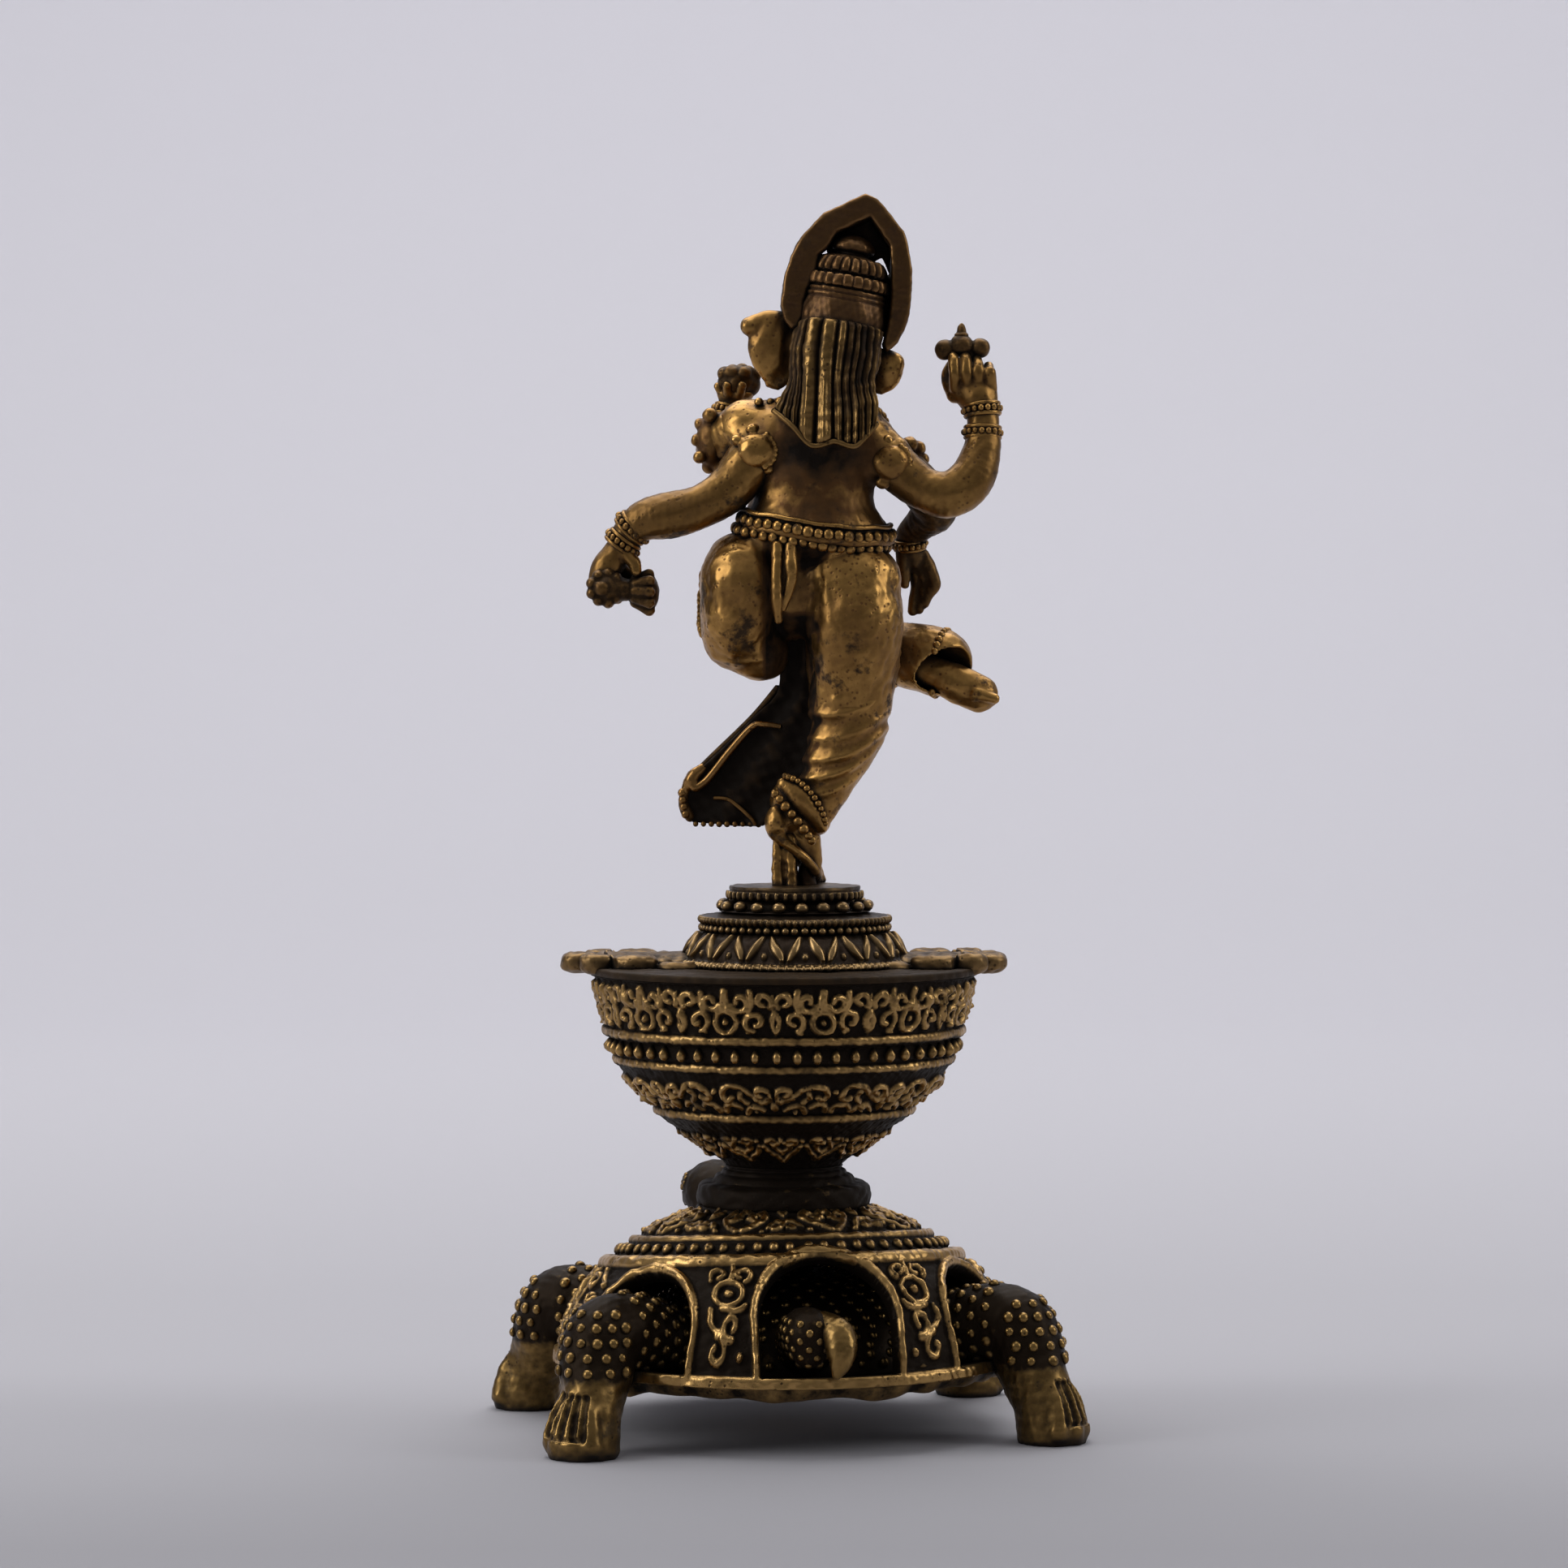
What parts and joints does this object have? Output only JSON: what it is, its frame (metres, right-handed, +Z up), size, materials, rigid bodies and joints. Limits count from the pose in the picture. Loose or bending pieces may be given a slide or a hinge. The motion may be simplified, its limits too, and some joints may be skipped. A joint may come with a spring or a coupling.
{
  "type": "brass tortoise bowl with dancing figure",
  "caption": "Cast brass dancing elephant-headed figure on a lotus base, set on the lift-off lid of a lotus bowl carried by a tortoise.",
  "frame": {"origin": "on the ground, under the middle of the whole object's box", "axes": "+Z up, +Y the way the tortoise looks, +X to the tortoise's right"},
  "size_m": [0.056, 0.0657, 0.1244],
  "materials": {
    "shell_brass": "antique brass, black in the hollows of its relief, worn golden on its edges",
    "worn_brass": "old brass, worn smooth and golden where it is handled",
    "bowl_brass": "antique brass, black in the hollows of its relief, rough and golden on its edges",
    "lotus_brass": "dark brown antique brass with a soft shine",
    "figure_brass": "polished antique brass with dark patina in folds and casting pits",
    "crown_brass": "reddish brown antique brass",
    "steel": "dull plated steel"
  },
  "bodies": {
    "tortoise_bowl": {"belly_plate": "shell_brass", "carapace": "shell_brass", "tortoise_body": "shell_brass", "tortoise_head": "worn_brass", "tortoise_tail": "worn_brass", "leg_front_left": "worn_brass", "leg_front_right": "worn_brass", "leg_rear_left": "worn_brass", "leg_rear_right": "worn_brass", "bowl_foot": "bowl_brass", "bowl": "bowl_brass", "bowl_bead_band": "bowl_brass", "bowl_rim": "bowl_brass", "bowl_bolt": "steel", "bowl_washer": "steel", "bowl_nut": "steel"},
    "lid_and_figure": {"cover_plate": "bowl_brass", "lotus_base": "lotus_brass", "pedestal_step": "lotus_brass", "pedestal_bead_ring": "lotus_brass", "pedestal_beads": "lotus_brass", "pedestal_top": "lotus_brass", "heel_post": "lotus_brass", "pedestal_nut": "steel", "standing_foot": "figure_brass", "standing_leg": "figure_brass", "raised_leg": "figure_brass", "raised_foot": "figure_brass", "sash_panel": "figure_brass", "back_pleats": "figure_brass", "torso": "figure_brass", "belt": "figure_brass", "necklace": "figure_brass", "hair_fall": "figure_brass", "head": "figure_brass", "trunk": "figure_brass", "tusks": "figure_brass", "ear_left": "figure_brass", "ear_right": "figure_brass", "crown": "crown_brass", "flame_arch": "crown_brass", "arm_rear_left": "figure_brass", "arm_rear_right": "figure_brass", "arm_front_left": "figure_brass", "arm_front_right": "figure_brass", "armlets": "figure_brass", "bracelets": "figure_brass", "anklets": "figure_brass", "lotus_bud": "figure_brass", "held_finial": "figure_brass", "sweet_bowl": "figure_brass"}
  },
  "joints": [
    {"name": "pedestal_lift", "type": "slide", "parent": "tortoise_bowl", "child": "lid_and_figure", "axis": [0, 0, 1], "range_m": [0, 0.03]}
  ]
}
